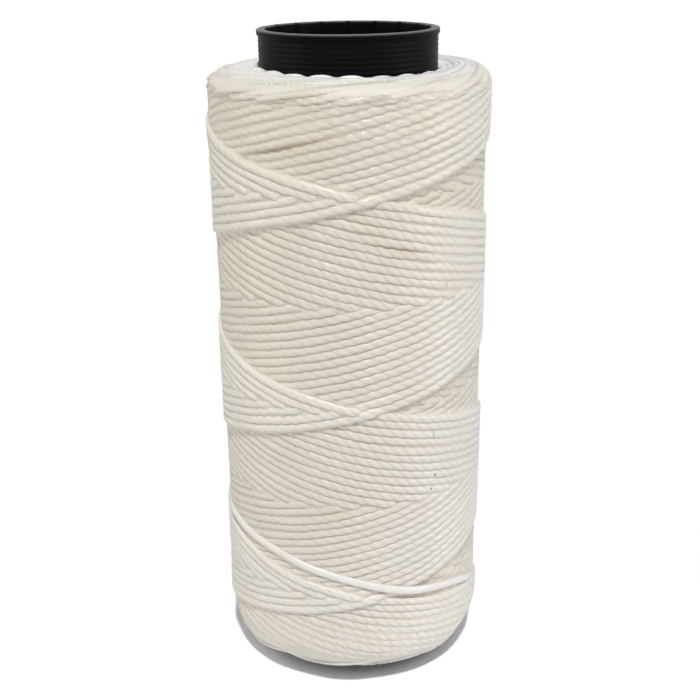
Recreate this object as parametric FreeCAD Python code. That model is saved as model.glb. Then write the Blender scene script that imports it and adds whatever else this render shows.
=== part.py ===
"""Spool of waxed thread: a straight plastic winding tube with its package of cross-wound thread.

Millimetres, +Z up. The tube stands on the XY plane with its axis on Z, and the origin is the
centre of its lower end. Angles are measured round +Z from the front, -Y, towards +X.
"""
import FreeCAD, Part
import math
import os

# Winding tube
tube_length = 80.0
tube_diameter = 20.8
tube_wall = 0.8
lip_height = 0.6
lip_proud = 0.15
rim_chamfer = 0.15
ring_count = 3
ring_pitch = 0.8
ring_depth = 0.1
flute_count = 18
flute_width = 0.5
flute_depth = 0.25

# Thread package
thread_diameter = 1.0
package_diameter = 33.0
bare_tube_below = 3.2
bare_tube_above = 4.1
winding_clearance = 0.05
shoulder_width = 2.6
shoulder_height = 2.0
shoulder_steps = 2
face_dish = 0.4

# Outer turns: every fourth thread of the outer layer, in strokes that rise and fall by turns
stroke_pairs = 3
turns_per_pair = 6
strand_step = 4
thread_spacing = 1.02
reversal_turn = 0.25
start_ramp_turn = 0.16
last_crossing_depth = 13.3
crossing_gap = 0.47
bedding_clearance = 0.28
steps_per_stroke = 12
section_sides = 4

# Places that follow from the sizes
tube_radius = tube_diameter / 2
bore_radius = tube_radius - tube_wall
package_radius = package_diameter / 2
package_low = bare_tube_below
package_high = tube_length - bare_tube_above
over_radius = package_radius - thread_diameter / 2
under_radius = over_radius - thread_diameter - crossing_gap
core_radius = under_radius - thread_diameter / 2 - bedding_clearance
strand_spacing = strand_step * thread_spacing
free_height = package_high - package_low - thread_diameter
winding_pitch = (2 * free_height - strand_spacing) / (turns_per_pair - reversal_turn)
arch_height = winding_pitch * reversal_turn / 4
stroke_low = package_low + thread_diameter / 2 + arch_height
stroke_high = package_high - thread_diameter / 2 - arch_height
stroke_turns = (stroke_high - stroke_low) / winding_pitch
advance_turn = strand_spacing / winding_pitch
end_bend_radius = over_radius - core_radius - winding_clearance - thread_diameter


def point_at(turns, radius, height):
    """Point at an angle in turns from the front, a radius from the axis and a height."""
    angle = 2 * math.pi * turns
    return FreeCAD.Vector(radius * math.sin(angle), -radius * math.cos(angle), height)


def heading(turns, radius, slope):
    """Unit direction of a turn that winds forward and climbs slope pitches in each turn."""
    angle = 2 * math.pi * turns
    run = 2 * math.pi * radius
    way = FreeCAD.Vector(math.cos(angle) * run, math.sin(angle) * run, slope * winding_pitch)
    return way.normalize()


def arc_edge(start, corner, end):
    """Arc from start to end whose end tangents both pass through the corner."""
    middle = (start + end) * 0.5
    half_chord = (end - start).Length / 2
    lift = (corner - middle).Length
    half_turn = math.atan2(lift, half_chord)
    top = middle + (corner - middle) * (math.tan(half_turn / 2) / math.tan(half_turn))
    return Part.Arc(start, top, end).toShape()


def biarc(start, start_way, end, end_way):
    """Two arcs that leave start and reach end in the given directions and meet tangent."""
    step = end - start
    along = step.dot(start_way + end_way)
    spread = 2 * (1 - start_way.dot(end_way))
    reach = (math.sqrt(along ** 2 + spread * step.dot(step)) - along) / spread
    first_corner = start + start_way * reach
    last_corner = end - end_way * reach
    joint = (first_corner + last_corner) * 0.5
    return [arc_edge(start, first_corner, joint), arc_edge(joint, last_corner, end)]


def turned(outline):
    """Ring turned round the tube's axis from a closed outline of radius and height pairs."""
    corners = [FreeCAD.Vector(radius, 0, height) for radius, height in outline]
    face = Part.Face(Part.makePolygon(corners + corners[:1]))
    return face.revolve(FreeCAD.Vector(0, 0, 0), FreeCAD.Vector(0, 0, 1), 360).Solids[0]


def core_tube():
    """Moulded tube: a lip and fine rings at both ends outside, shallow flutes along the bore."""
    lip_radius = tube_radius + lip_proud
    end = [(bore_radius, 0), (lip_radius - rim_chamfer, 0), (lip_radius, rim_chamfer),
           (lip_radius, lip_height), (tube_radius, lip_height + lip_proud)]
    for ring in range(ring_count):
        edge = lip_height + lip_proud + ring * ring_pitch
        end.append((tube_radius - ring_depth, edge + ring_pitch / 2))
        end.append((tube_radius, edge + ring_pitch))
    other_end = [(radius, tube_length - height) for radius, height in reversed(end)]
    tube = turned(end + other_end)

    flute = Part.makeBox(2 * flute_depth, flute_width, tube_length,
                         FreeCAD.Vector(bore_radius - flute_depth, -flute_width / 2, 0))
    flutes = []
    for index in range(flute_count):
        cut = flute.copy()
        cut.rotate(FreeCAD.Vector(0, 0, 0), FreeCAD.Vector(0, 0, 1), 360 * index / flute_count)
        flutes.append(cut)
    return tube.cut(flutes).Solids[0]


def thread_package():
    """Inner layers of thread: a plain ring on the tube with round shoulders and dished faces."""
    inner = tube_radius + winding_clearance
    side = [(inner, face_dish)]
    for step in range(shoulder_steps + 1):
        angle = math.pi / 2 * step / shoulder_steps
        radius = core_radius - shoulder_width * (1 - math.sin(angle))
        side.append((radius, shoulder_height * (1 - math.cos(angle))))
    low_end = [(radius, package_low + height) for radius, height in side]
    high_end = [(radius, package_high - height) for radius, height in reversed(side)]
    return turned(low_end + high_end)


def along_stroke(node, turns, radius):
    """Point of the same stroke, so many turns further on and at the given radius."""
    return (node[0] + turns, radius, node[2] + node[3] * turns * winding_pitch, node[3])


def stroke(start_turn, start_height, radius, slope):
    """Points of one rising or falling stroke, in even steps."""
    start = (start_turn, radius, start_height, slope)
    step_turns = stroke_turns / steps_per_stroke
    return [along_stroke(start, step * step_turns, radius) for step in range(steps_per_stroke + 1)]


def winding_nodes():
    """Turn, radius, height and slope at points of the outer turns, oldest first.

    Every stroke rises or falls at one pitch, in steps of about a quarter turn. Falling strokes
    lie on the package and rising strokes cross over them, one thread and the crossing gap
    further out. A reversal changes level in its middle half, so that it clears the next one,
    and its ends bend over at half the pitch. The first fall starts a step late, from the level
    above, and the last rise stops short, where its tucked end comes down midway between the
    first two threads that it crosses below the reversals.
    """
    last_crossing_height = package_high - last_crossing_depth
    last_low_turn = (stroke_low - last_crossing_height) / winding_pitch
    pair_turns = turns_per_pair + advance_turn
    bend = 3 / 4 * arch_height
    quarter = reversal_turn / 4
    nodes = []
    for pair in range(stroke_pairs):
        rise_turn = last_low_turn - (stroke_pairs - 1 - pair) * pair_turns
        fall_turn = rise_turn - reversal_turn - stroke_turns
        if pair > 0:
            nodes.append((fall_turn - 3 * quarter, over_radius, stroke_high + bend, 0.5))
            nodes.append((fall_turn - quarter, under_radius, stroke_high + bend, -0.5))
        nodes += stroke(fall_turn, stroke_high, under_radius, -1)
        nodes.append((rise_turn - 3 * quarter, under_radius, stroke_low - bend, -0.5))
        nodes.append((rise_turn - quarter, over_radius, stroke_low - bend, 0.5))
        nodes += stroke(rise_turn, stroke_low, over_radius, 1)
    start = along_stroke(nodes[1], 0, over_radius)
    settled = along_stroke(nodes[1], start_ramp_turn, under_radius)
    tuck_turn = (5 / 2 * advance_turn - reversal_turn) / 2
    bend_turn = end_bend_radius / (2 * math.pi * over_radius)
    tail = along_stroke(nodes[-1], -tuck_turn - bend_turn, over_radius)
    return [start, settled] + nodes[2:-1] + [tail]


def end_run(node, forward):
    """Edges from the package square out of its side, round a bend and into the turn at node."""
    turn, radius, height, slope = node
    way = heading(turn, radius, slope) * forward
    spot = point_at(turn, radius, height)
    inward = point_at(turn, -1, 0)
    corner = spot + way * end_bend_radius
    bend_end = corner + inward * end_bend_radius
    tip = bend_end + inward * thread_diameter
    return [arc_edge(spot, corner, bend_end), Part.makeLine(bend_end, tip)]


def winding_path():
    """Edges of the outer turns in order, from the end under the turns to the tucked end."""
    nodes = winding_nodes()
    edges = end_run(nodes[0], -1)[::-1]
    for node, after in zip(nodes, nodes[1:]):
        start = point_at(node[0], node[1], node[2])
        end = point_at(after[0], after[1], after[2])
        edges += biarc(start, heading(node[0], node[1], node[3]),
                       end, heading(after[0], after[1], after[3]))
    return edges + end_run(nodes[-1], 1)


def outer_winding(edges):
    """Outer turns of thread as one unbroken tube of a regular section along the path."""
    path = Part.Wire(edges)
    tip = path.OrderedVertexes[0].Point
    inward = FreeCAD.Vector(tip.x, tip.y, 0).normalize()
    side = FreeCAD.Vector(0, 0, 1)
    across = inward.cross(side)
    corners = []
    for index in range(section_sides + 1):
        angle = 2 * math.pi * index / section_sides
        reach = side * math.cos(angle) + across * math.sin(angle)
        corners.append(tip + reach * (thread_diameter / 2))
    section = Part.makePolygon(corners)
    return path.makePipeShell([section], True, False)


def least_gap(edges):
    """Least clear distance between two stretches of the tube, measured on points of its path."""
    points = []
    run = 0.0
    for edge in edges:
        count = max(2, round(edge.Length / (thread_diameter / 4)))
        for point in edge.discretize(count)[:-1]:
            points.append((run, point))
            run += edge.Length / (count - 1)
    cell = 2 * thread_diameter
    grid = {}
    for place, point in points:
        key = (round(point.x / cell), round(point.y / cell), round(point.z / cell))
        grid.setdefault(key, []).append((place, point))
    least = package_diameter
    for (x, y, z), members in grid.items():
        near = []
        for shift in range(27):
            other = (x + shift % 3 - 1, y + shift // 3 % 3 - 1, z + shift // 9 - 1)
            near += grid.get(other, [])
        for place, point in members:
            for other_place, other_point in near:
                if other_place - place > 4 * thread_diameter:
                    least = min(least, (other_point - point).Length)
    return least - thread_diameter


os.makedirs("parts", exist_ok=True)
route = winding_path()
winding = outer_winding(route)
nodes = {"core_tube": core_tube(), "thread_package": thread_package(), "outer_winding": winding}
for name, shape in nodes.items():
    shape.exportStep("parts/" + name + ".step")
length = sum(edge.Length for edge in route)
loops = (winding_nodes()[-1][0] - winding_nodes()[0][0])
tightest = min(edge.Curve.Radius for edge in route if hasattr(edge.Curve, "Radius"))
print("winding: %.1f mm of thread in %.2f turns at a pitch of %.2f mm" % (length, loops, winding_pitch))
print("least gap to itself %.3f mm, tightest bend %.2f mm" % (least_gap(route), tightest))
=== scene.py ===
"""Waxed thread spool: a black winding tube with a cross-wound package of ivory thread.

The CAD part is the fixed frame. The pieces made here are worked out in millimetres and put into
their meshes in metres. Angles are measured round +Z from the front, -Y, towards +X, in turns.
"""

import math

import bpy
import numpy as np
from mathutils import Matrix


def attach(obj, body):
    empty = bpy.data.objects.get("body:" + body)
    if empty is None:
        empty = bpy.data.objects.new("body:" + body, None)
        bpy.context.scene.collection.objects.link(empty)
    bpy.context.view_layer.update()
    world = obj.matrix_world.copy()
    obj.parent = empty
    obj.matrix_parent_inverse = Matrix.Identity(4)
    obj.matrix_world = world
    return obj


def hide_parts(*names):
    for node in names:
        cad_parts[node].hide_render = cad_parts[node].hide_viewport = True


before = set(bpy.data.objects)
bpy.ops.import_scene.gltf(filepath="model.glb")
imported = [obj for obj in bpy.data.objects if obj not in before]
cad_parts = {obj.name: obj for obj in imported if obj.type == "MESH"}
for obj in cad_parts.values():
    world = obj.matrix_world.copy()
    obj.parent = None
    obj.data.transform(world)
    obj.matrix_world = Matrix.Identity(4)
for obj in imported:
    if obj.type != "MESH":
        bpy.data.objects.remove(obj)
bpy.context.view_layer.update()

METRES = 0.001

# Winding tube
tube_length = 80.0
tube_radius = 10.4
bore_radius = 9.6
lip_height = 0.62
lip_proud = 0.15
rim_round = 0.14
bore_round = 0.12
ring_count = 7
ring_pitch = 0.56
ring_depth = 0.05
flute_count = 18
flute_half_width = 0.25
flute_depth = 0.25

# Outline of the thread package, over the crowns of its newest turns
crown_radius = 16.8
package_low = 3.18
package_high = 76.1
low_shoulder = (2.6, 4.0)
high_shoulder = (5.2, 2.35)
face_inner_radius = 10.46
face_dip = 0.45

# One continuous thread, laid in falling and rising strokes
thread_radius = 0.5
thread_corners = 12
ply_count = 3
ply_lay = 4.25
ply_reach = 0.085
flattening = 0.2
squareness = 0.12
strokes_each_way = 24
strand_spacing = 1.028
winding_pitch = strokes_each_way * strand_spacing
rise_at_front = 62.85
fall_at_front = 63.7
turnaround = 0.12
layer_step = 0.87
settling = 0.36
bedding_depth = 0.31
crossing_ramp = 0.95
crossing_lead = 0.26
mean_radius = 16.3
fine_step = 0.28
coarse_every = 6
hidden_strands = 1.3
rings_each_piece = 7400

# Where the thread turns round: the strokes run between two vertices, the newest one up from the low one
half_turns = 3 + 1 / (2 * strokes_each_way)
low_vertex = (rise_at_front + fall_at_front) / 2 - 5 * winding_pitch / 2
high_vertex = low_vertex + half_turns * winding_pitch
last_low_turn = (low_vertex - rise_at_front) / winding_pitch
pair_turns = 2 * half_turns

# Places where the low end hangs a little lower: degrees, amount and spread in degrees
low_sags = [(-64.0, 1.0, 20.0), (46.0, 0.6, 16.0), (170.0, 0.5, 30.0)]

# Gaps that stand a little open: degrees, height, way the turns run, reach in degrees, amount, stain
parted_places = [(-25.0, 68.63, 1, 26.0, 0.2, 0.9), (19.6, 57.8, -1, 14.0, 0.1, 0.8),
                 (-28.0, 48.6, 1, 20.0, 0.08, 0.2), (10.0, 46.5, 1, 26.0, 0.08, 0.1),
                 (24.0, 33.6, -1, 20.0, 0.1, 0.1), (-8.0, 25.8, 1, 24.0, 0.08, 0.2),
                 (140.0, 50.0, 1, 30.0, 0.12, 0.6), (-120.0, 36.0, -1, 28.0, 0.12, 0.5)]

# Small dark specks of dirt in the wax: degrees and height
speck_places = [(58.8, 33.5), (24.4, 33.9), (36.5, 29.3), (-9.8, 33.1), (-24.1, 34.1), (34.4, 27.6),
                (66.9, 9.9), (-19.9, 48.6), (118.0, 61.0), (164.0, 24.0), (-141.0, 44.0), (-97.0, 15.0)]

# Places that the last lap passes: degrees and height
lap_degrees = [-118, -100, -80, -64.8, -50.7, -39.5, -30.2, -22, -14.3, 0.3, 11.8, 19.1, 26.8, 35.3, 45.3,
               57, 71, 90, 112]
lap_heights = [19.5, 20.4, 20.8, 20.7, 20.05, 19.6, 18.95, 18.15, 17.65, 16.5, 15.5, 14.85, 14.2, 13.75,
               13.0, 12.1, 10.3, 7.9, 6.4]

# Colours: linear red, green and blue, with opacity
white = (1, 1, 1, 1)
thread_ivory = (0.75, 0.72, 0.66, 1)
lap_ivory = (0.78, 0.755, 0.715, 1)
# Near-white of the end turns: painted light of the brightly lit top face, given to the low face too
end_ivory = (0.94, 0.945, 0.965, 1)
groove_shade = (0.63, 0.595, 0.515, 1)
thread_stain = (0.74, 0.66, 0.53, 1)
gap_shade = (0.46, 0.385, 0.24, 1)
edge_olive = (0.36, 0.33, 0.16, 1)
edge_rust = (0.6, 0.33, 0.13, 1)
speck_brown = (0.1, 0.08, 0.06, 1)
# Tints of the painted light: cool to the right and below, warm to the left and above
cool_light_tint = (0.995, 0.995, 1.03, 1)
warm_light_tint = (1.0, 0.975, 0.885, 1)
# Beige of the bed, darkened as painted shade of the inner layers
bed_deep = (0.42, 0.385, 0.275, 1)
bed_pale = (0.69, 0.65, 0.55, 1)
side_wax = (0.735, 0.705, 0.625, 1)
face_wax_and_light = (0.94, 0.94, 0.935, 1)
gap_olive = (0.13, 0.125, 0.05, 1)
gap_rust = (0.3, 0.14, 0.05, 1)
tube_black = (0.0011, 0.0009, 0.0014, 1)
tube_scuffed = (0.0038, 0.0032, 0.0044, 1)
# Paler grey of the painted highlight on the tube's flat rim
tube_rim_highlight = (0.13, 0.135, 0.13, 1)
# Grey of the floor's painted shade under the spool
painted_floor_shade = (0.35, 0.35, 0.36, 1)


def smooth(value):
    """Smoothstep: 3v^2 - 2v^3 with v held between 0 and 1."""
    held = np.clip(value, 0.0, 1.0)
    return held * held * (3 - 2 * held)


def wrapped(value, period):
    """Value brought between minus half a period and plus half a period."""
    return (value + period / 2) % period - period / 2


def wander(run, seed, wave, count=5):
    """Slow irregularity along a run: a sum of sines over the root of their count.

    Their phases are seeded, and their wavelengths lie between 0.6 and 2.2 times wave.
    """
    rng = np.random.default_rng(seed)
    total = np.zeros_like(run)
    for step in range(count):
        length = wave * (0.6 + 0.35 * step + 0.2 * rng.random())
        total += np.sin(2 * np.pi * (run / length + rng.random())) / math.sqrt(count)
    return total


def quad_grid(rows, columns):
    """Corner numbers of the quads between neighbouring rows of a grid whose rows are closed."""
    row = np.arange(rows - 1)[:, None]
    column = np.arange(columns)[None, :]
    beside = (column + 1) % columns
    first = row * columns + column
    second = row * columns + beside
    third = (row + 1) * columns + beside
    fourth = (row + 1) * columns + column
    return np.stack([first, second, third, fourth], -1).reshape(-1, 4)


def put_mesh(name, points, quads, material, uv=None, **weights):
    """Object at the origin from points in millimetres and quads.

    A thread also has a UV pair for each corner. Each weight is named and has a value for each
    point: flank, low and stain on thread, and stain, wax, face and rust on the bed.
    """
    mesh = bpy.data.meshes.new(name)
    mesh.vertices.add(len(points))
    mesh.vertices.foreach_set("co", (points * METRES).astype(np.float32).ravel())
    mesh.loops.add(quads.size)
    mesh.loops.foreach_set("vertex_index", quads.astype(np.int32).ravel())
    mesh.polygons.add(len(quads))
    mesh.polygons.foreach_set("loop_start", np.arange(0, quads.size, 4, dtype=np.int32))
    mesh.update(calc_edges=True)
    mesh.polygons.foreach_set("use_smooth", np.ones(len(quads), dtype=bool))
    if uv is not None:
        layer = mesh.uv_layers.new(name="thread")
        layer.data.foreach_set("uv", uv.astype(np.float32).ravel())
    for label, values in weights.items():
        weight = mesh.attributes.new(label, "FLOAT", "POINT")
        weight.data.foreach_set("value", values.astype(np.float32))
    mesh.materials.append(material)
    mesh.update()
    piece = bpy.data.objects.new(name, mesh)
    bpy.context.scene.collection.objects.link(piece)
    return piece


# Shader nodes

def node(tree, kind, at, **settings):
    """New node of a kind at a place, with its properties set."""
    made = tree.nodes.new(kind)
    made.location = at
    for key, value in settings.items():
        setattr(made, key, value)
    return made


def set_inputs(made, values):
    """Plain values of a node's inputs, by the names of the inputs."""
    for label, value in values.items():
        made.inputs[label].default_value = value


def connect(tree, value, socket):
    """Feed an input from an output, or give it a plain value."""
    if hasattr(value, "links"):
        tree.links.new(value, socket)
    else:
        socket.default_value = value


def math_node(tree, operation, first, second, at, third=None):
    """Math node whose inputs are outputs of other nodes or plain numbers."""
    made = node(tree, "ShaderNodeMath", at, operation=operation)
    for index, value in enumerate((first, second, third)):
        if value is not None:
            connect(tree, value, made.inputs[index])
    return made.outputs[0]


def mix_colour(tree, factor, first, second, at, blend="MIX"):
    """Mix node for colours; each input is an output of another node or a colour."""
    made = node(tree, "ShaderNodeMix", at, data_type="RGBA", blend_type=blend)
    for index, value in ((0, factor), (6, first), (7, second)):
        connect(tree, value, made.inputs[index])
    return made.outputs[2]


def ramp(tree, value, low, high, at, to_low=0.0, to_high=1.0, kind="LINEAR"):
    """Value taken from the range low to high into to_low to to_high, and held at both ends."""
    made = node(tree, "ShaderNodeMapRange", at, interpolation_type=kind)
    set_inputs(made, {"From Min": low, "From Max": high, "To Min": to_low, "To Max": to_high})
    tree.links.new(value, made.inputs["Value"])
    return made.outputs[0]


def noise(tree, vector, scale, detail, at, roughness=0.5):
    """Noise from 0 to 1 over a vector."""
    made = node(tree, "ShaderNodeTexNoise", at)
    set_inputs(made, {"Scale": scale, "Detail": detail, "Roughness": roughness})
    tree.links.new(vector, made.inputs["Vector"])
    return made.outputs[0]


def point_weight(tree, name, at):
    """A weight that the mesh has for each of its points."""
    return node(tree, "ShaderNodeAttribute", at, attribute_name=name).outputs["Fac"]


def object_place(tree, at):
    """Place in the object's own coordinates, in metres."""
    return node(tree, "ShaderNodeTexCoord", at).outputs["Object"]


def coordinates(tree, vector, at):
    """The three coordinates of a vector."""
    made = node(tree, "ShaderNodeSeparateXYZ", at)
    tree.links.new(vector, made.inputs[0])
    return made.outputs


def new_group(name, inputs, outputs):
    """Shader node group with named inputs and outputs: (tree, input node, output node)."""
    tree = bpy.data.node_groups.new(name, "ShaderNodeTree")
    for label, kind, value in inputs:
        socket = tree.interface.new_socket(name=label, in_out="INPUT", socket_type=kind)
        socket.default_value = value
    for label, kind in outputs:
        tree.interface.new_socket(name=label, in_out="OUTPUT", socket_type=kind)
    start = node(tree, "NodeGroupInput", (-1200, 0))
    end = node(tree, "NodeGroupOutput", (900, 0))
    return tree, start, end


def new_material(name):
    """Material with nodes: (material, tree, its Principled shader)."""
    material = bpy.data.materials.new(name)
    material.use_nodes = True
    tree = material.node_tree
    return material, tree, tree.nodes["Principled BSDF"]


def dress(tree, shader, colour, rough, height, strength, distance):
    """Feed colour, roughness and a bump of a strength and a distance in metres into a shader."""
    bump = node(tree, "ShaderNodeBump", (-220, -150))
    set_inputs(bump, {"Strength": strength, "Distance": distance})
    tree.links.new(colour, shader.inputs["Base Color"])
    tree.links.new(rough, shader.inputs["Roughness"])
    tree.links.new(height, bump.inputs["Height"])
    tree.links.new(bump.outputs["Normal"], shader.inputs["Normal"])


def near_places(tree, position, places, inner, outer, at):
    """Mask of spots on the package: 1 within inner mm of a place, down to 0 at outer mm."""
    radius = crown_radius - 0.25
    mask = None
    for index, (degrees, height) in enumerate(places):
        angle = math.radians(degrees)
        spot = (radius * math.sin(angle) * METRES, -radius * math.cos(angle) * METRES, height * METRES)
        down = at[1] - 90 * index
        away = node(tree, "ShaderNodeVectorMath", (at[0], down), operation="DISTANCE")
        away.inputs[1].default_value = spot
        tree.links.new(position, away.inputs[0])
        near = ramp(tree, away.outputs["Value"], outer * METRES, inner * METRES, (at[0] + 200, down),
                    kind="SMOOTHSTEP")
        mask = near if mask is None else math_node(tree, "MAXIMUM", mask, near, (at[0] + 400, down))
    return mask


# Materials

def plied_thread_group():
    """Colour, roughness and height of waxed plied thread, from the thread's own UV map.

    U is the run along the thread in centimetres and V goes once round it with the plies. The
    grooves lie where V times the number of plies is whole, and are darkened by painted shade, most
    down the middle of the front and the back. Fibres are noise stretched along the plies, and
    stains and clouds are slow noise in the object's own coordinates. The flank weight paints brown
    shade into the gaps, the low weight paints shade on old turns that still show, and the stain
    weight colours the stained gaps. Specks lie at their own places, and a painted warm light tints
    the thread to the left and upwards.
    """
    tree, start, end = new_group(
        "plied thread",
        [("Colour", "NodeSocketColor", (0.8, 0.76, 0.7, 1)),
         ("Groove Colour", "NodeSocketColor", (0.5, 0.4, 0.3, 1)),
         ("Stain Colour", "NodeSocketColor", (0.7, 0.6, 0.48, 1)),
         ("Gap Colour", "NodeSocketColor", (0.6, 0.5, 0.36, 1)),
         ("Gap Strength", "NodeSocketFloat", 0.5),
         ("Low Strength", "NodeSocketFloat", 0.3),
         ("Groove Strength", "NodeSocketFloat", 0.5),
         ("Fibre Strength", "NodeSocketFloat", 0.3),
         ("Roughness", "NodeSocketFloat", 0.45)],
        [("Colour", "NodeSocketColor"), ("Roughness", "NodeSocketFloat"), ("Height", "NodeSocketFloat")])
    given = start.outputs
    link = tree.links.new

    uv = node(tree, "ShaderNodeUVMap", (-1200, 400), uv_map="thread")
    along, around, _ = coordinates(tree, uv.outputs[0], (-1000, 400))
    plies = math_node(tree, "MULTIPLY", around, float(ply_count), (-820, 500))
    side = math_node(tree, "PINGPONG", plies, 0.5, (-660, 500))
    shallow = math_node(tree, "MULTIPLY", side, 2.0, (-500, 500))
    hollow = math_node(tree, "SUBTRACT", 1.0, shallow, (-340, 500))
    groove = math_node(tree, "POWER", hollow, 3.0, (-180, 500))

    fibre_across = math_node(tree, "MULTIPLY", around, 9.0, (-820, 300))
    slant = math_node(tree, "MULTIPLY", along, -20.0, (-820, 180))
    slanted = math_node(tree, "ADD", fibre_across, slant, (-660, 240))
    fibre_along = math_node(tree, "MULTIPLY", along, 9.0, (-660, 100))
    fibre_place = node(tree, "ShaderNodeCombineXYZ", (-500, 200))
    link(fibre_along, fibre_place.inputs[0])
    link(slanted, fibre_place.inputs[1])
    fibre = noise(tree, fibre_place.outputs[0], 2.4, 3.0, (-340, 200), 0.6)

    here = object_place(tree, (-1200, -200))
    x, _, z = coordinates(tree, here, (-900, -700))
    stain = noise(tree, here, 160.0, 4.0, (-900, -200), 0.55)
    cloud = noise(tree, here, 45.0, 2.0, (-900, -450))
    stained = ramp(tree, stain, 0.52, 0.78, (-700, -200), 0.0, 0.5)
    base = mix_colour(tree, stained, given["Colour"], given["Stain Colour"], (-300, -50))

    # Painted shade in the ply grooves, 2.3 times as strong within 3 mm of the middle of the front and the
    # back, down to 0.4 times at 13 mm
    from_middle = math_node(tree, "SUBTRACT", x, 0.0035, (-800, 620))
    beside = math_node(tree, "ABSOLUTE", from_middle, None, (-650, 620))
    clear = ramp(tree, beside, 0.013, 0.003, (-500, 620), 0.4, 2.3)
    groove_here = math_node(tree, "MULTIPLY", given["Groove Strength"], clear, (-180, 400))
    grooved = math_node(tree, "MULTIPLY", groove, groove_here, (0, 450))
    shaded = mix_colour(tree, grooved, base, given["Groove Colour"], (200, 200))

    # Painted shade: the low weight darkens old turns that still show, and the flank weight browns the gaps
    low = point_weight(tree, "low", (-500, 1000))
    low_part = math_node(tree, "MULTIPLY", low, given["Low Strength"], (-100, 900))
    toned = mix_colour(tree, low_part, shaded, given["Gap Colour"], (300, 450))
    flank = point_weight(tree, "flank", (-500, 800))
    uneven = ramp(tree, stain, 0.36, 0.62, (-300, 650), 0.25)
    gap_wide = math_node(tree, "MULTIPLY", flank, uneven, (-100, 700))
    gap = math_node(tree, "MULTIPLY", gap_wide, given["Gap Strength"], (60, 700))
    edged = mix_colour(tree, gap, toned, given["Gap Colour"], (460, 450))
    stained_gap = point_weight(tree, "stain", (60, 1100))
    warm = math_node(tree, "MULTIPLY", stained_gap, cloud, (300, 1100))
    warm_colour = mix_colour(tree, stain, edge_olive, edge_rust, (300, 900))
    warmed = mix_colour(tree, warm, edged, warm_colour, (620, 550))
    speck = near_places(tree, here, speck_places, 0.1, 0.28, (-1200, 2900))
    specked = mix_colour(tree, speck, warmed, speck_brown, (780, 550))

    # Painted warm light: the age below is how warm it is, more to the left and upwards
    leftward = math_node(tree, "MULTIPLY", x, -20.0, (-700, -700))
    upward = math_node(tree, "MULTIPLY", z, 9.0, (-700, -850))
    age = math_node(tree, "ADD", leftward, upward, (-500, -750))
    light_tint = mix_colour(tree, age, cool_light_tint, warm_light_tint, (-300, -700))
    tinted = mix_colour(tree, 1.0, specked, light_tint, (700, 0), "MULTIPLY")
    swing = math_node(tree, "SUBTRACT", fibre, 0.5, (-100, 150))
    fibre_swing = math_node(tree, "MULTIPLY", swing, given["Fibre Strength"], (60, 80))
    cloud_swing = math_node(tree, "MULTIPLY_ADD", cloud, 0.12, (-300, -450), 0.94)
    level = math_node(tree, "ADD", cloud_swing, fibre_swing, (240, -50))
    level_colour = node(tree, "ShaderNodeCombineColor", (400, -50))
    for index in range(3):
        link(level, level_colour.inputs[index])
    lit = mix_colour(tree, 1.0, tinted, level_colour.outputs[0], (700, 200), "MULTIPLY")
    link(lit, end.inputs["Colour"])

    rough = math_node(tree, "MULTIPLY_ADD", fibre, 0.25, (240, -250), given["Roughness"])
    link(rough, end.inputs["Roughness"])
    ridge = math_node(tree, "MULTIPLY", groove, -0.6, (240, -450))
    height = math_node(tree, "ADD", fibre, ridge, (420, -450))
    link(height, end.inputs["Height"])
    return tree


def thread_material(name, group, colour, groove_strength=0.35, fibre_strength=0.2, soft=0.35, coat=0.45):
    """Waxed thread: the plied thread group under a soft coat of wax that thins out near the top."""
    material, tree, shader = new_material(name)
    set_inputs(shader, {"Subsurface Weight": soft, "Subsurface Radius": (1.0, 1.0, 0.95),
                        "Subsurface Scale": 0.0006, "Coat Roughness": 0.24, "Specular IOR Level": 0.4})
    _, _, height = coordinates(tree, object_place(tree, (-900, -400)), (-700, -400))
    coat_here = ramp(tree, height, 0.071, 0.0745, (-500, -400), coat, 0.2 * coat)
    tree.links.new(coat_here, shader.inputs["Coat Weight"])
    look = node(tree, "ShaderNodeGroup", (-500, 200), node_tree=group)
    set_inputs(look, {"Colour": colour, "Groove Colour": groove_shade, "Stain Colour": thread_stain,
                      "Gap Colour": gap_shade, "Gap Strength": 0.13, "Low Strength": 0.48,
                      "Groove Strength": groove_strength, "Fibre Strength": fibre_strength,
                      "Roughness": 0.36})
    shown = look.outputs
    dress(tree, shader, shown["Colour"], shown["Roughness"], shown["Height"], 0.35, 0.00006)
    return material


def bedded_material():
    """Wax and thread between the outer turns: beige to ivory, and olive to rust where it is stained.

    Its patches are noise in the object's own coordinates. Its darker beige is painted shade of the
    inner layers seen in the gaps. It is paler where there is more wax, and palest on the high face,
    where painted light whitens it.
    """
    material, tree, shader = new_material("bedded thread")
    here = object_place(tree, (-900, 100))
    grain = noise(tree, here, 900.0, 3.0, (-700, 100))
    patch = noise(tree, here, 260.0, 3.0, (-900, 400))
    patched = ramp(tree, patch, 0.35, 0.65, (-700, 400))
    # Darker beige: painted shade of the inner layers in the gaps
    plain = mix_colour(tree, patched, bed_deep, bed_pale, (-520, 300))
    face = point_weight(tree, "face", (-700, 1100))
    # Painted light: the wax on the high face is near white
    pale = mix_colour(tree, face, side_wax, face_wax_and_light, (-520, 1000))
    wax = point_weight(tree, "wax", (-700, 900))
    waxy = mix_colour(tree, wax, plain, pale, (-400, 450))
    rust = point_weight(tree, "rust", (-900, 1300))
    dirt = mix_colour(tree, rust, gap_olive, gap_rust, (-520, 600))
    stain = point_weight(tree, "stain", (-700, 700))
    colour = mix_colour(tree, stain, waxy, dirt, (-330, 300))
    rough = math_node(tree, "MULTIPLY_ADD", grain, 0.3, (-420, -50), 0.6)
    dress(tree, shader, colour, rough, grain, 0.5, 0.0001)
    return material


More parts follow.
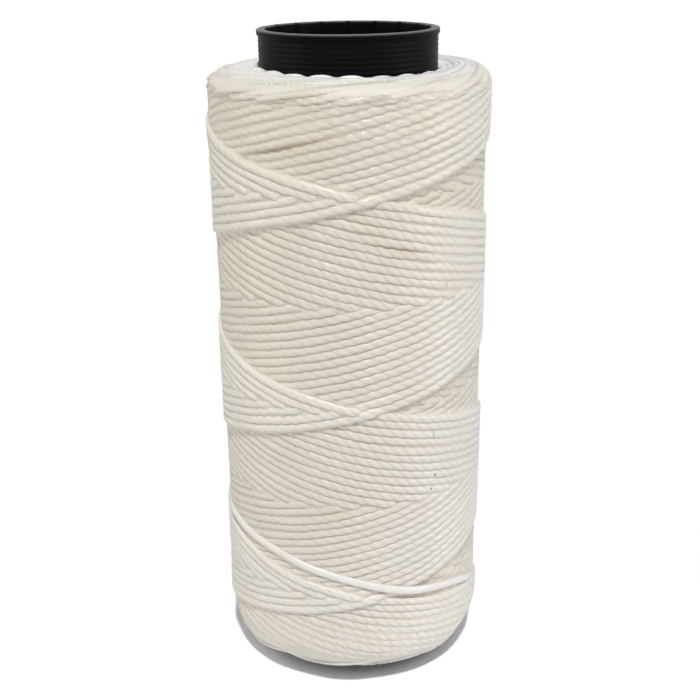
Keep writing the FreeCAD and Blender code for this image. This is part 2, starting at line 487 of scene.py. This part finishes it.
def tube_material():
    """Black moulded plastic: fine mould grain, faint scuffs round it, and a flat rim on top painted paler as
    a highlight.
    """
    material, tree, shader = new_material("black tube plastic")
    shader.inputs["Specular IOR Level"].default_value = 0.055
    here = object_place(tree, (-1100, 100))
    grain = noise(tree, here, 2600.0, 2.0, (-800, 250))
    squash = node(tree, "ShaderNodeMapping", (-950, -50))
    squash.inputs["Scale"].default_value = (1.0, 1.0, 14.0)
    tree.links.new(here, squash.inputs["Vector"])
    scuff = noise(tree, squash.outputs[0], 120.0, 5.0, (-750, -50), 0.65)
    scuffed = mix_colour(tree, scuff, tube_black, tube_scuffed, (-420, 250))
    _, _, height = coordinates(tree, here, (-800, 550))
    # Painted highlight: the flat rim on top is paler
    rim = ramp(tree, height, 0.0798, 0.07999, (-620, 550))
    colour = mix_colour(tree, rim, scuffed, tube_rim_highlight, (-300, 450))
    rough = math_node(tree, "MULTIPLY_ADD", scuff, 0.3, (-420, 0), 0.32)
    dress(tree, shader, colour, rough, grain, 0.15, 0.00005)
    return material


# Winding tube

def tube_outline():
    """Radius and height round the closed wall once, and a weight that is 1 along the bore.

    The wall is tube_radius with rings r = R - d (1 - cos)/2 near both ends, a proud lip with
    quarter-round edges at each end, and a plain bore. The list goes up outside and down inside.
    """
    lip_radius = tube_radius + lip_proud
    turn = np.linspace(0, np.pi / 2, 5)
    low_round = np.stack([lip_radius - rim_round + rim_round * np.sin(turn),
                          rim_round - rim_round * np.cos(turn)], 1)
    under_lip = np.array([[lip_radius, lip_height - 0.05], [lip_radius - 0.04, lip_height],
                          [tube_radius, lip_height + 0.08]])
    run = np.linspace(0, ring_count * ring_pitch, ring_count * 8 + 1)
    rings = np.stack([tube_radius - ring_depth * (1 - np.cos(2 * np.pi * run / ring_pitch)) / 2,
                      lip_height + 0.14 + run], 1)
    lower = np.concatenate([low_round, under_lip, rings])
    upper = np.stack([lower[::-1, 0], tube_length - lower[::-1, 1]], 1)
    top_in = np.stack([bore_radius + bore_round - bore_round * np.sin(turn),
                       tube_length - bore_round + bore_round * np.cos(turn)], 1)
    bore = np.stack([np.full(9, bore_radius), np.linspace(tube_length - 0.6, 0.6, 9)], 1)
    low_in = np.stack([top_in[::-1, 0], tube_length - top_in[::-1, 1]], 1)
    outline = np.concatenate([lower, upper, top_in, bore, low_in])
    inside = np.zeros(len(outline))
    inside[len(lower) + len(upper) + 1:-1] = 1.0
    return outline, inside


def winding_tube(material):
    """Surface of revolution of the tube's outline, with shallow flutes pressed into the bore.

    In the bore r = r_0 + flute_depth (1 - s), with s a smoothstep of the distance from the middle of
    the nearest flute that is one half at flute_half_width.
    """
    outline, inside = tube_outline()
    around = 432
    angle = 2 * np.pi * np.arange(around) / around
    step = wrapped(angle, 2 * np.pi / flute_count) * bore_radius
    flute = flute_depth * (1 - smooth((np.abs(step) - flute_half_width + 0.08) / 0.16))
    radius = outline[:, None, 0] + inside[:, None] * flute[None, :]
    height = np.repeat(outline[:, None, 1], around, 1)
    points = np.stack([radius * np.sin(angle), -radius * np.cos(angle), height], -1)
    rows = len(outline)
    quads = quad_grid(rows + 1, around) % (rows * around)
    return put_mesh("winding_tube", points.reshape(-1, 3), quads, material)


# Outline of the package as a run, with its outward direction

def package_outline():
    """Run, radius, height and outward direction along the package's crown line.

    The run w equals the height on the straight side. Both shoulders are quarter ellipses, and
    the end faces go in from them to the tube with a slight dip.
    """
    wide, tall = high_shoulder
    turn = np.linspace(0, np.pi / 2, 400)
    high = np.stack([crown_radius - wide + wide * np.cos(turn), package_high - tall + tall * np.sin(turn)], 1)
    inward = np.linspace(0, 1, 40)[1:]
    high_face = np.stack([high[-1, 0] + (face_inner_radius - high[-1, 0]) * inward,
                          package_high - face_dip * inward ** 2], 1)
    low_wide, low_tall = low_shoulder
    low = np.stack([crown_radius - low_wide + low_wide * np.sin(turn),
                    package_low + low_tall - low_tall * np.cos(turn)], 1)
    outward = np.linspace(0, 1, 40)[:-1]
    low_face = np.stack([face_inner_radius + (low[0, 0] - face_inner_radius) * outward,
                         package_low + face_dip * (1 - outward) ** 2], 1)
    side = np.stack([np.full(200, crown_radius),
                     np.linspace(package_low + low_tall, package_high - tall, 202)[1:-1]], 1)
    line = np.concatenate([low_face, low, side, high, high_face])
    gap = np.hypot(*np.diff(line, axis=0).T)
    run = np.concatenate([[0], np.cumsum(gap)])
    run += package_low + low_tall - np.interp(len(low_face) + len(low) - 1, np.arange(len(run)), run)
    slope = np.gradient(line, run, axis=0)
    slope /= np.linalg.norm(slope, axis=1)[:, None]
    return run, line, np.stack([slope[:, 1], -slope[:, 0]], 1)


def swell(turn, run):
    """How much fuller the package is than its outline: on the left, near the top, low on the left.

    swell = (0.17 + 0.2 a) cos^2(pi (turn + 1/4)) + 0.2 b (1 - 0.6 c), with smoothsteps a below a
    run of 14, b above 66 and c above 73.
    """
    left = np.cos(np.pi * (turn + 0.25)) ** 2
    high = smooth((run - 66.0) / 4.0) * (1 - 0.6 * smooth((run - 73.0) / 3.0))
    return (0.17 + 0.2 * smooth((14.0 - run) / 8.0)) * left + 0.2 * high


def sag(turn, run):
    """How far the low end hangs down: a exp(-(v / s)^2) summed over the sags, fading out by run 8.5.

    At each sag v is the degrees from it, a its amount and s its spread.
    """
    total = np.zeros_like(run)
    for degrees, amount, spread in low_sags:
        away = wrapped(turn * 360 - degrees, 360)
        total += amount * np.exp(-(away / spread) ** 2)
    return total * smooth((8.5 - run) / 5.5)


def rise(turn, run):
    """How far the high end stands up: more at the right, less at the front and by the tube.

    rise = 0.45 exp(-(v / 32)^2) s (1 - t) - 0.08 cos^2(pi turn) r - 0.45 cos^2(pi (turn - 0.22)) t,
    with v the degrees from 95, and smoothsteps s above a run of 73, r above 74 and t above 77.5.
    """
    away = wrapped(turn * 360 - 95.0, 360)
    near_tube = smooth((run - 77.5) / 3.0)
    shoulder = 0.45 * np.exp(-(away / 32.0) ** 2) * smooth((run - 73.0) / 3.0) * (1 - near_tube)
    front = 0.08 * smooth((run - 74.0) / 5.0) * np.cos(np.pi * turn) ** 2
    return shoulder - front - 0.45 * near_tube * np.cos(np.pi * (turn - 0.22)) ** 2


outline_run, outline_line, outline_out = package_outline()


def on_package(turns, run, depth):
    """Points and outward directions at an angle in turns, a run and a depth under the crowns.

    With R and Z on the outline and (m, n) its outward direction, the radius is R - m depth + share
    times swell and the height is Z - n depth - sag + rise. The share is 0 at the tube and 1 at
    the crown radius.
    """
    radius = np.interp(run, outline_run, outline_line[:, 0])
    height = np.interp(run, outline_run, outline_line[:, 1])
    out = np.interp(run, outline_run, outline_out[:, 0])
    up = np.interp(run, outline_run, outline_out[:, 1])
    radius = radius - out * depth
    height = height - up * depth - sag(turns, run) + rise(turns, run)
    share = (radius - face_inner_radius) / (crown_radius - face_inner_radius)
    radius = radius + share * swell(turns, run)
    angle = 2 * np.pi * turns
    points = np.stack([radius * np.sin(angle), -radius * np.cos(angle), height], -1)
    outward = np.stack([out * np.sin(angle), -out * np.cos(angle), up], -1)
    return points, outward


# Wax and inner layers

def waxed(turn, run):
    """How full of wax the gaps are: most near both ends, and more at some places on the side.

    The weight is the greatest of 0.5 cos^4(pi (turn + 0.13)), 0.75 exp(-(v / 38)^2) with v the
    degrees from 55, exp(-((v + 7) / 16)^2 - ((run - 14.5) / 3)^2) where the last lap crosses, and
    smoothsteps below a run of 14 and above 60 and 72.
    """
    degrees = wrapped(turn * 360 - 55.0, 360)
    left_side = 0.5 * np.cos(np.pi * (turn + 0.13)) ** 4
    right_side = 0.75 * np.exp(-(degrees / 38.0) ** 2)
    crossing = np.exp(-((degrees + 7.0) / 16.0) ** 2 - ((run - 14.5) / 3.0) ** 2)
    low_end = 0.75 * smooth((14.0 - run) / 5.0)
    high_end = 0.65 * smooth((run - 60.0) / 8.0) + 0.35 * smooth((run - 72.0) / 4.0)
    return np.max([left_side, right_side, crossing, low_end, high_end], axis=0)


def topped(run):
    """How far the wax near the top has drowned the turns: a smoothstep from run 73.4 to 77.6."""
    return smooth((run - 73.4) / 4.2)


def low_left(turn, run):
    """Smooth waxy patch low on the left: cos^2(pi (turn + 0.22)) by a smoothstep below a run of 7."""
    return smooth((7.0 - run) / 3.5) * np.cos(np.pi * (turn + 0.22)) ** 2


def saw(value):
    """Age less whole rounds of strokes_each_way, falling back to 0 over the last strand of a round."""
    whole = value % strokes_each_way
    return whole * (1 - smooth(whole - (strokes_each_way - 1)))


def cover(other, age, rising):
    """How far the crossing strokes laid later cover a stroke: 1 covered, 0 on top.

    A rising stroke of age k lies under falling strokes of age 0 to k - 1, and a falling one
    under rising strokes of age 0 to k. The edges are smoothsteps crossing_ramp strands wide,
    which start crossing_lead strands before the covering strand. The second result is how many
    strands the place lies outside the covering ones.
    """
    count = np.where(rising, age, age + 1)
    middle = (count - 1) / 2
    off = np.abs(wrapped(other - middle, strokes_each_way)) - count / 2
    covered = smooth((crossing_lead - off) / crossing_ramp)
    return covered * (count > 0), off


def gap_height(degrees, height, way):
    """Height of the gap between two turns that is nearest to a place."""
    front = rise_at_front if way > 0 else fall_at_front
    line = front + way * winding_pitch * degrees / 360
    age = way * (height - line) / strand_spacing
    return line + way * (round(age - 0.5) + 0.5) * strand_spacing


def stain_weight(points):
    """Weight of the stain at points, the greatest of s exp(-(d / 0.3)^2 - (v / 0.8 b)^2).

    At each parted place v is the degrees from it, d the height above the gap through it, b its
    reach and s its stain.
    """
    degrees_here = np.degrees(np.arctan2(points[:, 0], -points[:, 1]))
    weight = np.zeros(len(points))
    for degrees, height, way, reach, _, stain in parted_places:
        away = wrapped(degrees_here - degrees, 360)
        above = points[:, 2] - gap_height(degrees, height, way) - way * winding_pitch * away / 360
        weight = np.maximum(weight, stain * np.exp(-(above / 0.3) ** 2 - (away / (0.8 * reach)) ** 2))
    return weight


def bedding(material):
    """Wax and inner layers that fill the gaps, a little under the crowns of the turns on top.

    depth = bedding_depth - 0.15 wax - 0.04 topped - 0.12 low left + 0.2 on the low face. Between the
    vertices, where it isn't topped, settling (rise age + fall age) / strokes_each_way + layer_step / 2
    times the lesser of the two covers comes on top, with ages that change evenly between turns. The
    face weight is 1 on the high face and the rust weight is 1 past 337 degrees, both for the colour
    alone.
    """
    side = np.linspace(low_vertex + 0.6, high_vertex - 0.6, 190)
    low = outline_run[outline_run < side[0]][::24]
    high = outline_run[outline_run > side[-1]][::-24][::-1]
    around = 400
    turns = np.arange(around) / around
    run, turn = np.meshgrid(np.concatenate([low, side, high]), turns, indexing="ij")
    fall_age = (fall_at_front - run - winding_pitch * turn) / strand_spacing
    rise_age = (run - rise_at_front - winding_pitch * turn) / strand_spacing
    inside = smooth((run - side[0]) / 0.8) * smooth((side[-1] - run) / 0.8)
    fall_near = (fall_age + 0.5) % strokes_each_way - 0.5
    rise_near = (rise_age + 0.5) % strokes_each_way - 0.5
    fall_covered, _ = cover(rise_age, fall_near, False)
    rise_covered, _ = cover(fall_age, np.maximum(rise_near, 0), True)
    lesser = layer_step / 2 * np.minimum(fall_covered, rise_covered)
    between = settling * (saw(fall_age) + saw(rise_age)) / strokes_each_way + lesser
    wax = waxed(turn, run)
    filled = 0.15 * wax + 0.04 * topped(run) + 0.12 * low_left(turn, run)
    on_face = 0.2 * smooth((low_vertex - 0.8 - run) / 1.2)
    depth = bedding_depth - filled + between * inside * (1 - topped(run)) + on_face
    points, _ = on_package(turn, run, depth)
    radius = np.hypot(points[..., 0], points[..., 1])
    short = np.maximum(radius, face_inner_radius + 0.02) / radius
    points[..., :2] *= short[..., None]
    inner = points[[-1, 0]].copy()
    scale = (tube_radius + 0.04) / np.hypot(inner[..., 0], inner[..., 1])
    inner[..., :2] *= scale[..., None]
    points = np.concatenate([points, inner])
    rows = len(points)
    points = points.reshape(-1, 3)
    weights = {"stain": stain_weight(points)}
    face = smooth((run - high_vertex - 0.2) / 2.8)
    rust = 0.5 + 0.5 * np.tanh((turn * 360 - 337.0) / 8.0)
    for label, values in (("wax", wax), ("face", face), ("rust", rust)):
        weights[label] = np.concatenate([values, values[[-1, 0]]]).ravel()
    quads = quad_grid(rows + 1, around) % (rows * around)
    return put_mesh("bedded_layers", points, quads, material, **weights)


# The thread as one tube of plies

def ply_section():
    """Radius at each corner of the section: circles of ply_reach offset, joined at the grooves.

    r = c cos(t) + sqrt(q^2 - c^2 sin^2(t)), with t measured from the middle of the ply, c the
    offset of a ply from the axis and q the ply's radius, so that the crown is thread_radius.
    """
    corner = 2 * np.pi * np.arange(thread_corners) / thread_corners
    t = wrapped(corner - np.pi / ply_count, 2 * np.pi / ply_count)
    ply = thread_radius - ply_reach
    return ply_reach * np.cos(t) + np.sqrt(ply ** 2 - (ply_reach * np.sin(t)) ** 2)


def thread_tube(points, outward, thickness, worn=0.0):
    """Section corners along a line, the quads with capped ends, the UV pairs and flank weights.

    Corner j at a point p is p + k r_j (1 - q cos 4a) (n (1 - f) cos a + (t x n) (1 + f) sin a),
    with t the direction, n the outward direction square to it, f the flattening, q the
    squareness, k the thickness and a = 2 pi j / corners + twist. The radius r_j goes from the
    plies' section to thread_radius as worn goes from 0 to 1. The twist grows by one turn for each
    ply_lay of run, less whole plies, so that long steps stay untwisted. The flank weight is the
    smoothstep of (0.66 - cos a) / 0.24, so it is 0 on the crown and 1 on the sides and below.
    """
    corners = thread_corners
    step = np.linalg.norm(np.diff(points, axis=0), axis=1)
    run = np.concatenate([[0], np.cumsum(step)])
    along = np.gradient(points, run, axis=0)
    along /= np.linalg.norm(along, axis=1)[:, None]
    normal = outward - along * np.sum(outward * along, 1)[:, None]
    normal /= np.linalg.norm(normal, axis=1)[:, None]
    side = np.cross(along, normal)
    advance = wrapped(2 * np.pi * np.diff(run) / ply_lay, 2 * np.pi / ply_count)
    twist = np.concatenate([[0], np.cumsum(advance)])
    angle = 2 * np.pi * np.arange(corners)[None, :] / corners + twist[:, None]
    section = ply_section() * (1 - worn) + thread_radius * worn
    reach = section[None, :] * thickness[:, None] * (1 - squareness * np.cos(4 * angle))
    # The flank weight paints brown shade into the gaps between turns
    flank = smooth((0.66 - np.cos(angle)) / 0.24)
    ring = points[:, None, :] + reach[..., None] * (
        (1 - flattening) * np.cos(angle)[..., None] * normal[:, None, :]
        + (1 + flattening) * np.sin(angle)[..., None] * side[:, None, :])

    rows = len(points)
    quads = quad_grid(rows, corners)
    row = np.repeat(np.arange(rows - 1), corners)
    column = np.tile(np.arange(corners), rows - 1)
    u = run / 10
    uv = np.stack([np.stack([u[row], column / corners], -1), np.stack([u[row], (column + 1) / corners], -1),
                   np.stack([u[row + 1], (column + 1) / corners], -1),
                   np.stack([u[row + 1], column / corners], -1)], 1)
    fan = np.array([[0, 2 * i + 1, 2 * i + 2, 2 * i + 3] for i in range(corners // 2 - 1)]) % corners
    caps = np.concatenate([fan[:, ::-1], fan + (rows - 1) * corners])
    cap_uv = np.zeros((len(caps), 4, 2))
    cap_uv[..., 1] = 1 / (2 * ply_count)
    return ring.reshape(-1, 3), np.concatenate([quads, caps]), np.concatenate([uv, cap_uv]), flank.ravel()


def thread_line(turn):
    """Run, stroke age, rising flag and ages of the crossing strokes along the thread.

    The run is a triangle wave between the two vertices, w = low + P |x| with x the turns from
    the nearest low vertex, whose corners are rounded by x^2 / b + b / 4 over b turns.
    """
    age = np.round((last_low_turn - turn) / pair_turns)
    away = turn - (last_low_turn - age * pair_turns)
    rising = away > 0
    from_low = np.abs(away)
    from_high = half_turns - from_low
    plain = low_vertex + winding_pitch * from_low
    rounded_low = from_low ** 2 / turnaround + turnaround / 4
    rounded_high = from_high ** 2 / turnaround + turnaround / 4
    run = np.where(from_low < turnaround / 2, low_vertex + winding_pitch * rounded_low, plain)
    run = np.where(from_high < turnaround / 2, high_vertex - winding_pitch * rounded_high, run)
    fall_age = (fall_at_front - plain - winding_pitch * turn) / strand_spacing
    rise_age = (plain - rise_at_front - winding_pitch * turn) / strand_spacing
    other = np.where(rising, fall_age, rise_age)
    return run, age, rising, other


def parting(turn, run, rising):
    """Small shift along the run that opens the gap at each parted place, for turns that run its way.

    shift = a tanh(d / 0.3) exp(-|d| / 1.4 - (v / b)^2), with v the degrees from the place, d the
    run above the gap through it, b its reach and a its amount.
    """
    shift = np.zeros_like(run)
    for degrees, height, way, reach, amount, _ in parted_places:
        away = wrapped(turn * 360 - degrees, 360)
        above = run - gap_height(degrees, height, way) - way * winding_pitch * away / 360
        opened = amount * np.tanh(above / 0.3) * np.exp(-np.abs(above) / 1.4 - (away / reach) ** 2)
        shift += np.where(rising == (way > 0), opened, 0)
    return shift


def winding_line():
    """Points, outward directions, thickness, low weight and wax of the outer thread, oldest first.

    depth = thread_radius + settling (1 - 0.85 topped) (age + crossing age) / strokes_each_way
    + layer_step cover, with 0.05 more on the high face and 1.6 more at the tucked end. The run, the
    depth and the thickness wander a little. The low weight is (1 - cover) times the square of the
    mean age over strokes_each_way. Stretches that newer turns hide are kept in coarse steps.
    """
    length_each_turn = math.hypot(2 * math.pi * mean_radius, winding_pitch)
    first_turn = last_low_turn - strokes_each_way * pair_turns - half_turns
    last_turn = last_low_turn + half_turns + 0.04
    tuck_turns = 0.06
    turn = np.arange(first_turn, last_turn, fine_step / length_each_turn)
    run, age, rising, other = thread_line(turn)
    covered, off = cover(other, age, rising)
    both_ages = age + saw(other)
    level = settling * (1 - 0.85 * topped(run)) * both_ages / strokes_each_way
    depth = thread_radius + level + layer_step * covered + 0.05 * smooth(run - 75.6)
    length = (turn - first_turn) * length_each_turn
    run = run + 0.05 * wander(length, 3, 9.0) + 0.06 * wander(length, 4, 47.0)
    run = run + parting(turn, run, rising)
    # The low weight paints shade on old, deeper turns that still show
    low = (both_ages / (2 * strokes_each_way)) ** 2 * (1 - covered)
    tuck = smooth((turn - last_turn + tuck_turns) / tuck_turns)
    depth = depth + 0.02 * wander(length, 5, 6.0) + 1.6 * tuck
    thickness = 1.07 + 0.02 * wander(length, 6, 5.0) + 0.02 * wander(length, 7, 31.0)
    keep = (off > -hidden_strands) | (np.arange(len(turn)) % coarse_every == 0)
    points, outward = on_package(turn[keep], run[keep], depth[keep])
    return points, outward, thickness[keep], low[keep], waxed(turn[keep], run[keep])


def lay_thread(material):
    """The outer thread, cut into pieces of one run each so that no piece is too large."""
    points, outward, thickness, low, wax = winding_line()
    pieces = []
    count = math.ceil((len(points) - 1) / rings_each_piece)
    edges = np.linspace(0, len(points) - 1, count + 1).round().astype(int)
    for index in range(count):
        part = slice(edges[index], edges[index + 1] + 1)
        ring, quads, uv, flank = thread_tube(points[part], outward[part], thickness[part])
        # Wax in the gaps takes away most of the painted shade there
        gap = 1 - 0.8 * np.repeat(wax[part], thread_corners)
        pieces.append(put_mesh("wound_thread_%d" % (index + 1), ring, quads, material, uv,
                               flank=flank * gap, low=np.repeat(low[part], thread_corners),
                               stain=stain_weight(ring)))
    return pieces


def last_lap(material):
    """The thread's outer end, laid two thirds of the way round, low down, and tucked at both ends.

    Its height follows the lap's places, smoothed by a bell, and depth = 0.6 + 0.15 s + 1.1 e
    - 0.25 exp(-((v - 20) / 14)^2), with v the degrees, s a smoothstep above 25 and e smoothsteps
    over 52 degrees at both ends.
    """
    fine = np.linspace(lap_degrees[0], lap_degrees[-1], 420)
    line = np.interp(fine, lap_degrees, lap_heights)
    window = np.hanning(41)
    padded = np.concatenate([2 * line[0] - line[20:0:-1], line, 2 * line[-1] - line[-2:-22:-1]])
    line = np.convolve(padded, window / window.sum(), "valid")
    tuck = 52
    ends = smooth((lap_degrees[0] + tuck - fine) / tuck) + smooth((fine - lap_degrees[-1] + tuck) / tuck)
    over = np.exp(-((fine - 20) / 14) ** 2)
    depth = 0.6 + 0.15 * smooth((fine - 25) / 30) + 1.1 * ends - 0.25 * over
    points, outward = on_package(fine / 360, line, depth)
    ring, quads, uv, flank = thread_tube(points, outward, np.full(len(fine), 0.92), 0.7)
    return put_mesh("last_lap", ring, quads, material, uv, flank=flank * 0.5)


def end_turns(name, high, material):
    """Reversing turns of the inner layers on one end face, as long shallow arcs that overlap.

    Ring i lies at run w_i and has arcs evenly round it; an arc is w = w_i + s u - d u^2 and
    depth = c + e |u|^3 with u from -1 to 1 along it, so that both ends dive under the next arcs.
    With share 1 at the shoulder and 0 at the tube, the slant s is 1.6 share, because the turns still
    climb at the shoulder, and the low weight is 0.9 share^3. The ring at the tube has more and
    shorter arcs, with c larger by 0.3 u^2, whose loops make its edge wavy. The thickness is
    1.05 - 0.4 u^2.
    """
    rng = np.random.default_rng(11 if high else 12)
    corner = high_vertex - 0.55 if high else low_vertex + 0.8
    sign = 1 if high else -1
    inner = outline_run[-1] if high else outline_run[0]
    reach = abs(inner - corner)
    ring_spacing = 0.93
    ring_total = int(round(reach / ring_spacing))
    all_points, all_quads, all_uv, all_flank, all_low = [], [], [], [], []
    offset = 0
    for ring_index in range(ring_total):
        place = corner + sign * (ring_index + 0.55) * reach / ring_total
        radius = np.interp(place, outline_run, outline_line[:, 0])
        innermost = ring_index == ring_total - 1
        outer_share = 1 - ring_index / (ring_total - 1)
        slant = 1.6 * outer_share
        arcs = 22 if innermost else 10
        dive = 0.35 if innermost else 0.5
        u = np.linspace(-1, 1, 16 if innermost else 34)
        sunk = -0.34 + 0.3 * u ** 2 if innermost else -0.08 - 0.07 * outer_share
        for arc in range(arcs):
            middle = (arc + 0.25 * rng.random() + 0.4 * ring_index) / arcs
            half = (2.1 if innermost else 9.5 + 2.0 * rng.random()) / radius / (2 * math.pi)
            drift = sign * (0.4 + 0.25 * rng.random())
            jitter = 0.12 * (rng.random() - 0.5)
            run = place + jitter + slant * u - drift * u ** 2
            depth = thread_radius + sunk + 0.08 * rng.random() + dive * np.abs(u) ** 3
            points, outward = on_package(middle + half * u, run, depth)
            ring, quads, uv, flank = thread_tube(points, outward, 1.05 - 0.4 * u ** 2, 0.6)
            all_points.append(ring)
            all_quads.append(quads + offset)
            all_uv.append(uv)
            # Little painted shade in the gaps, and painted shade on the outer rings by the shoulder
            all_flank.append(flank * 0.1)
            all_low.append(np.full(len(ring), 0.9 * outer_share ** 3))
            offset += len(ring)
    return put_mesh(name, np.concatenate(all_points), np.concatenate(all_quads), material,
                    np.concatenate(all_uv), flank=np.concatenate(all_flank), low=np.concatenate(all_low))


# Build the pieces

thread_group = plied_thread_group()
outer_thread = thread_material("waxed thread", thread_group, thread_ivory)
lap_thread = thread_material("waxed thread, last lap", thread_group, lap_ivory, groove_strength=0.06)
tube_plastic = tube_material()
bedded = bedded_material()
# The end turns' near-white colour is painted light
end_thread = thread_material("waxed thread, ends", thread_group, end_ivory, groove_strength=0.05,
                             fibre_strength=0.1, soft=0.1, coat=0.1)

tube = winding_tube(tube_plastic)
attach(tube, "root")
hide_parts("core_tube")

bed = bedding(bedded)
top_turns = end_turns("end_turns_top", True, end_thread)
low_turns = end_turns("end_turns_low", False, end_thread)
for piece in (bed, top_turns, low_turns):
    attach(piece, "root")
    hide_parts("thread_package")

wound = lay_thread(outer_thread)
lap = last_lap(lap_thread)
for piece in wound + [lap]:
    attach(piece, "root")
    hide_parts("outer_winding")


# Floor, light and camera

def pale_floor():
    """White floor that keeps the shadow, greyer under the spool with painted shade, and plain white beyond
    it.

    It glows a little for the camera alone, from nothing at 12.5 mm from the spool's axis to its full
    glow at 15 mm and beyond.
    """
    material, tree, shader = new_material("pale floor")
    set_inputs(shader, {"Roughness": 0.9, "Specular IOR Level": 0.1, "Emission Color": white})
    distance = node(tree, "ShaderNodeVectorMath", (-700, -500), operation="LENGTH")
    tree.links.new(object_place(tree, (-900, -500)), distance.inputs[0])
    away = distance.outputs["Value"]
    beyond = ramp(tree, away, 0.0125, 0.015, (-500, -500), 0.0, 0.13, "SMOOTHSTEP")
    # Painted shade: the floor's colour greys towards the spool, from 13.6 mm to 10.5 mm from its axis
    outside_floor_shade = ramp(tree, away, 0.0105, 0.0136, (-500, 100), kind="SMOOTHSTEP")
    colour = mix_colour(tree, outside_floor_shade, painted_floor_shade, white, (-250, 100))
    tree.links.new(colour, shader.inputs["Base Color"])
    path = node(tree, "ShaderNodeLightPath", (-500, -300))
    glow = math_node(tree, "MULTIPLY", path.outputs["Is Camera Ray"], beyond, (-250, -300))
    tree.links.new(glow, shader.inputs["Emission Strength"])
    half = 4000.0
    points = np.array([[-half, -half, 0], [half, -half, 0], [half, half, 0], [-half, half, 0]])
    floor = put_mesh("floor", points, np.array([[0, 1, 2, 3]]), material)


def studio_world():
    """White surroundings for the camera and reflections, dimmer as the light on the object."""
    world = bpy.data.worlds.new("studio")
    world.use_nodes = True
    tree = world.node_tree
    background = tree.nodes["Background"]
    rays = node(tree, "ShaderNodeLightPath", (-700, 100)).outputs
    seen = math_node(tree, "MAXIMUM", rays["Is Camera Ray"], rays["Is Glossy Ray"], (-600, 100))
    plain = math_node(tree, "MAXIMUM", seen, rays["Is Transmission Ray"], (-450, 100))
    strength = ramp(tree, plain, 0.0, 1.0, (-250, 100), 0.13)
    tree.links.new(strength, background.inputs["Strength"])
    background.inputs["Color"].default_value = white
    bpy.context.scene.world = world


def stand(name, data, across, up, back, place):
    """Lamp or camera at a place in metres, with its own X, Y and Z along the three directions."""
    made = bpy.data.objects.new(name, data)
    bpy.context.scene.collection.objects.link(made)
    turned = np.eye(4)
    turned[:3, :] = np.stack([across, up, back, place], 1)
    made.matrix_world = Matrix(turned.tolist())
    return made


def soft_light(name, place, spread, strength):
    """Far soft lamp that shines from a place towards the origin, evenly over object and floor."""
    data = bpy.data.lights.new(name, "SUN")
    data.angle = spread
    data.energy = strength
    toward = -np.array(place, float)
    toward /= np.linalg.norm(toward)
    across = np.cross(toward, (0, 0, 1))
    across /= np.linalg.norm(across)
    stand(name, data, across, np.cross(across, toward), -toward, place)


def photo_camera():
    """Camera of the photograph: in front, above, looking 20.6 degrees down, image 700 by 700."""
    focal_pixels = 1110.16
    image_size = 700
    sensor_width = 36.0
    pitch = 0.35933
    roll = -0.01263
    place = np.array([-0.235, -132.317, 90.118]) * METRES
    data = bpy.data.cameras.new("camera")
    data.sensor_width = sensor_width
    data.lens = focal_pixels / image_size * sensor_width
    data.clip_start = 0.005
    data.clip_end = 20.0
    forward = np.array([0, math.cos(pitch), -math.sin(pitch)])
    upward = np.array([0, math.sin(pitch), math.cos(pitch)])
    right = np.array([1.0, 0, 0])
    across = right * math.cos(roll) + upward * math.sin(roll)
    up = upward * math.cos(roll) - right * math.sin(roll)
    bpy.context.scene.camera = stand("camera", data, across, up, -forward, place)


pale_floor()
studio_world()
soft_light("key", (0.035, -0.5, 0.87), 0.06, 2.45)
soft_light("right fill", (0.93, -0.32, 0.08), 0.35, 1.05)
soft_light("left fill", (-0.95, -0.24, 0.12), 0.6, 0.93)
photo_camera()

bpy.context.scene.view_settings.view_transform = "Standard"
